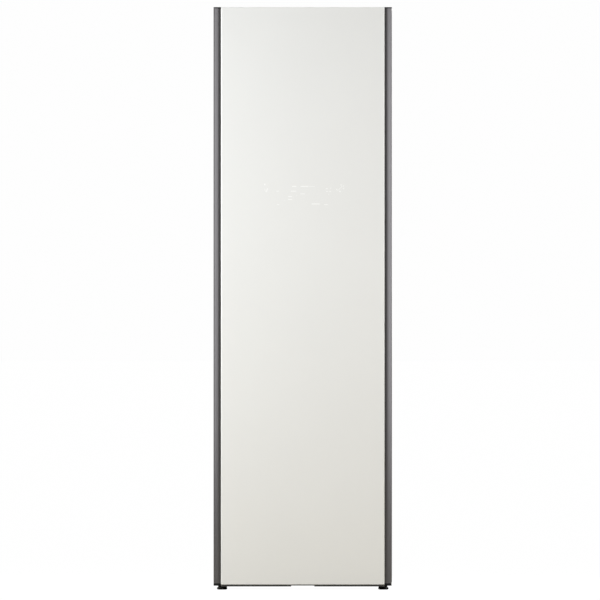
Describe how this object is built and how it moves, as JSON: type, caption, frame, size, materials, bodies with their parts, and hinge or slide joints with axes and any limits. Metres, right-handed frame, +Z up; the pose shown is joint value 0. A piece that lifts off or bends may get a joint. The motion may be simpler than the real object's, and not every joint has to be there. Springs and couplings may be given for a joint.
{
  "type": "clothes care steam cabinet",
  "caption": "Tall free-standing clothes steam cabinet: a glass door between rounded metal strips, a chamber with a shaking hanger rail, shelf and trouser press, and water tanks below.",
  "frame": {"origin": "on the floor under the middle of the cabinet's outline", "axes": "+Z up, the door faces -Y, +X is to the right seen from the front"},
  "size_m": [0.6, 0.596, 1.96],
  "materials": {
    "white_glass": "gloss",
    "strip_metal": "satin",
    "dark_trim": "matte",
    "foam": "matte",
    "liner_white": "satin",
    "liner_grey": "matte",
    "seal_rubber": "matte",
    "circuit_green": "satin",
    "bush_plastic": "satin",
    "press_cloth": "matte",
    "shell_paint": "satin",
    "zinc_steel": "satin",
    "lamp_clear": "satin",
    "tank_smoke": "gloss",
    "rail_grey": "satin",
    "black_paint": "satin",
    "fin_aluminium": "satin",
    "copper": "satin",
    "grey_plastic": "satin",
    "foot_black": "matte"
  },
  "bodies": {
    "cabinet": {"side_panel_left": "shell_paint", "side_panel_right": "shell_paint", "back_panel": "zinc_steel", "top_cover": "shell_paint", "base_pan": "zinc_steel", "front_frame": "liner_white", "insulation": "foam", "chamber_left_wall": "liner_white", "chamber_right_wall": "liner_white", "chamber_back_wall": "liner_white", "chamber_ceiling": "liner_white", "chamber_floor": "liner_grey", "lamp_lens": "lamp_clear", "tank_bay": "liner_grey", "upper_hinge_arm": "zinc_steel", "lower_hinge_arm": "zinc_steel", "drive_bracket": "zinc_steel", "guide_rods": "zinc_steel", "shake_motor": "black_paint", "compressor": "black_paint", "compressor_mounts": "foot_black", "evaporator": "fin_aluminium", "condenser": "fin_aluminium", "fan_scroll": "grey_plastic", "fan_motor": "black_paint", "steam_generator": "zinc_steel", "steam_pipe": "bush_plastic", "water_pumps": "black_paint", "refrigerant_pipes": "copper", "control_box": "grey_plastic", "power_inlet": "dark_trim", "rear_feet": "foot_black", "panel_screws": "zinc_steel"},
    "door": {"door_glass": "white_glass", "door_strip_left": "strip_metal", "door_strip_right": "strip_metal", "grip_channel": "dark_trim", "door_top_cap": "dark_trim", "door_bottom_cap": "dark_trim", "door_foam": "foam", "door_liner": "liner_white", "door_gasket": "seal_rubber", "display_board": "circuit_green", "hinge_bushes": "bush_plastic"},
    "press_board": {"press_board": "press_cloth"},
    "press_catch": {"press_catch": "liner_grey"},
    "hem_clip": {"hem_clip": "liner_grey"},
    "supply_tank": {"supply_tank": "tank_smoke", "supply_tank_lid": "liner_white"},
    "drain_tank": {"drain_tank": "tank_smoke", "drain_tank_lid": "liner_grey"},
    "shelf": {"shelf": "liner_white"},
    "lint_filter": {"lint_filter": "liner_grey"},
    "aroma_case": {"aroma_case": "liner_white"},
    "hanger": {"hanger_rail": "rail_grey", "hanger_carriage": "rail_grey"},
    "crank": {"crank_wheel": "bush_plastic"},
    "fan": {"fan_wheel": "grey_plastic"},
    "front_foot_left": {"front_foot_left": "foot_black"},
    "front_foot_right": {"front_foot_right": "foot_black"}
  },
  "joints": [
    {"name": "door_hinge", "type": "hinge", "parent": "cabinet", "child": "door", "pos_m": [0.286, -0.262, 0.9], "axis": [0, 0, 1], "range_deg": [0, 115]},
    {"name": "press_hinge", "type": "hinge", "parent": "door", "child": "press_board", "pos_m": [0.2, -0.208, 1.1], "axis": [0, 0, -1], "range_deg": [0, 90]},
    {"name": "press_catch_turn", "type": "hinge", "parent": "press_board", "child": "press_catch", "pos_m": [-0.165, -0.2, 1.1], "axis": [0, -1, 0], "range_deg": [0, 90]},
    {"name": "hem_clip_hinge", "type": "hinge", "parent": "door", "child": "hem_clip", "pos_m": [0, -0.2072, 1.684], "axis": [1, 0, 0], "range_deg": [0, 25]},
    {"name": "supply_tank_slide", "type": "slide", "parent": "cabinet", "child": "supply_tank", "axis": [0, -1, 0], "range_m": [0, 0.14]},
    {"name": "drain_tank_slide", "type": "slide", "parent": "cabinet", "child": "drain_tank", "axis": [0, -1, 0], "range_m": [0, 0.14]},
    {"name": "shelf_lift", "type": "slide", "parent": "cabinet", "child": "shelf", "axis": [0, 0, 1], "range_m": [0, 0.03]},
    {"name": "lint_filter_lift", "type": "slide", "parent": "cabinet", "child": "lint_filter", "axis": [0, 0, 1], "range_m": [0, 0.11]},
    {"name": "aroma_case_lift", "type": "slide", "parent": "cabinet", "child": "aroma_case", "axis": [0, 0, 1], "range_m": [0, 0.04]},
    {"name": "hanger_shake", "type": "slide", "parent": "cabinet", "child": "hanger", "axis": [1, 0, 0], "range_m": [-0.02165, 0.02165]},
    {"name": "crank_turn", "type": "hinge", "parent": "cabinet", "child": "crank", "pos_m": [0, -0.0035, 1.887], "axis": [0, 0, -1], "range_deg": [-60, 60]},
    {"name": "fan_spin", "type": "hinge", "parent": "cabinet", "child": "fan", "pos_m": [-0.1, 0.113, 0.2967], "axis": [0, 1, 0], "continuous": true},
    {"name": "front_foot_left_screw", "type": "slide", "parent": "cabinet", "child": "front_foot_left", "axis": [0, 0, 1], "range_m": [-0.012, 0.005]},
    {"name": "front_foot_right_screw", "type": "slide", "parent": "cabinet", "child": "front_foot_right", "axis": [0, 0, 1], "range_m": [-0.012, 0.005]}
  ],
  "couplings": [
    {"joint": "supply_tank_slide", "follows": "door_hinge", "m_per_rad": 0.0697},
    {"joint": "drain_tank_slide", "follows": "door_hinge", "m_per_rad": 0.0697},
    {"joint": "crank_turn", "follows": "hanger_shake", "rad_per_m": 48.3}
  ]
}
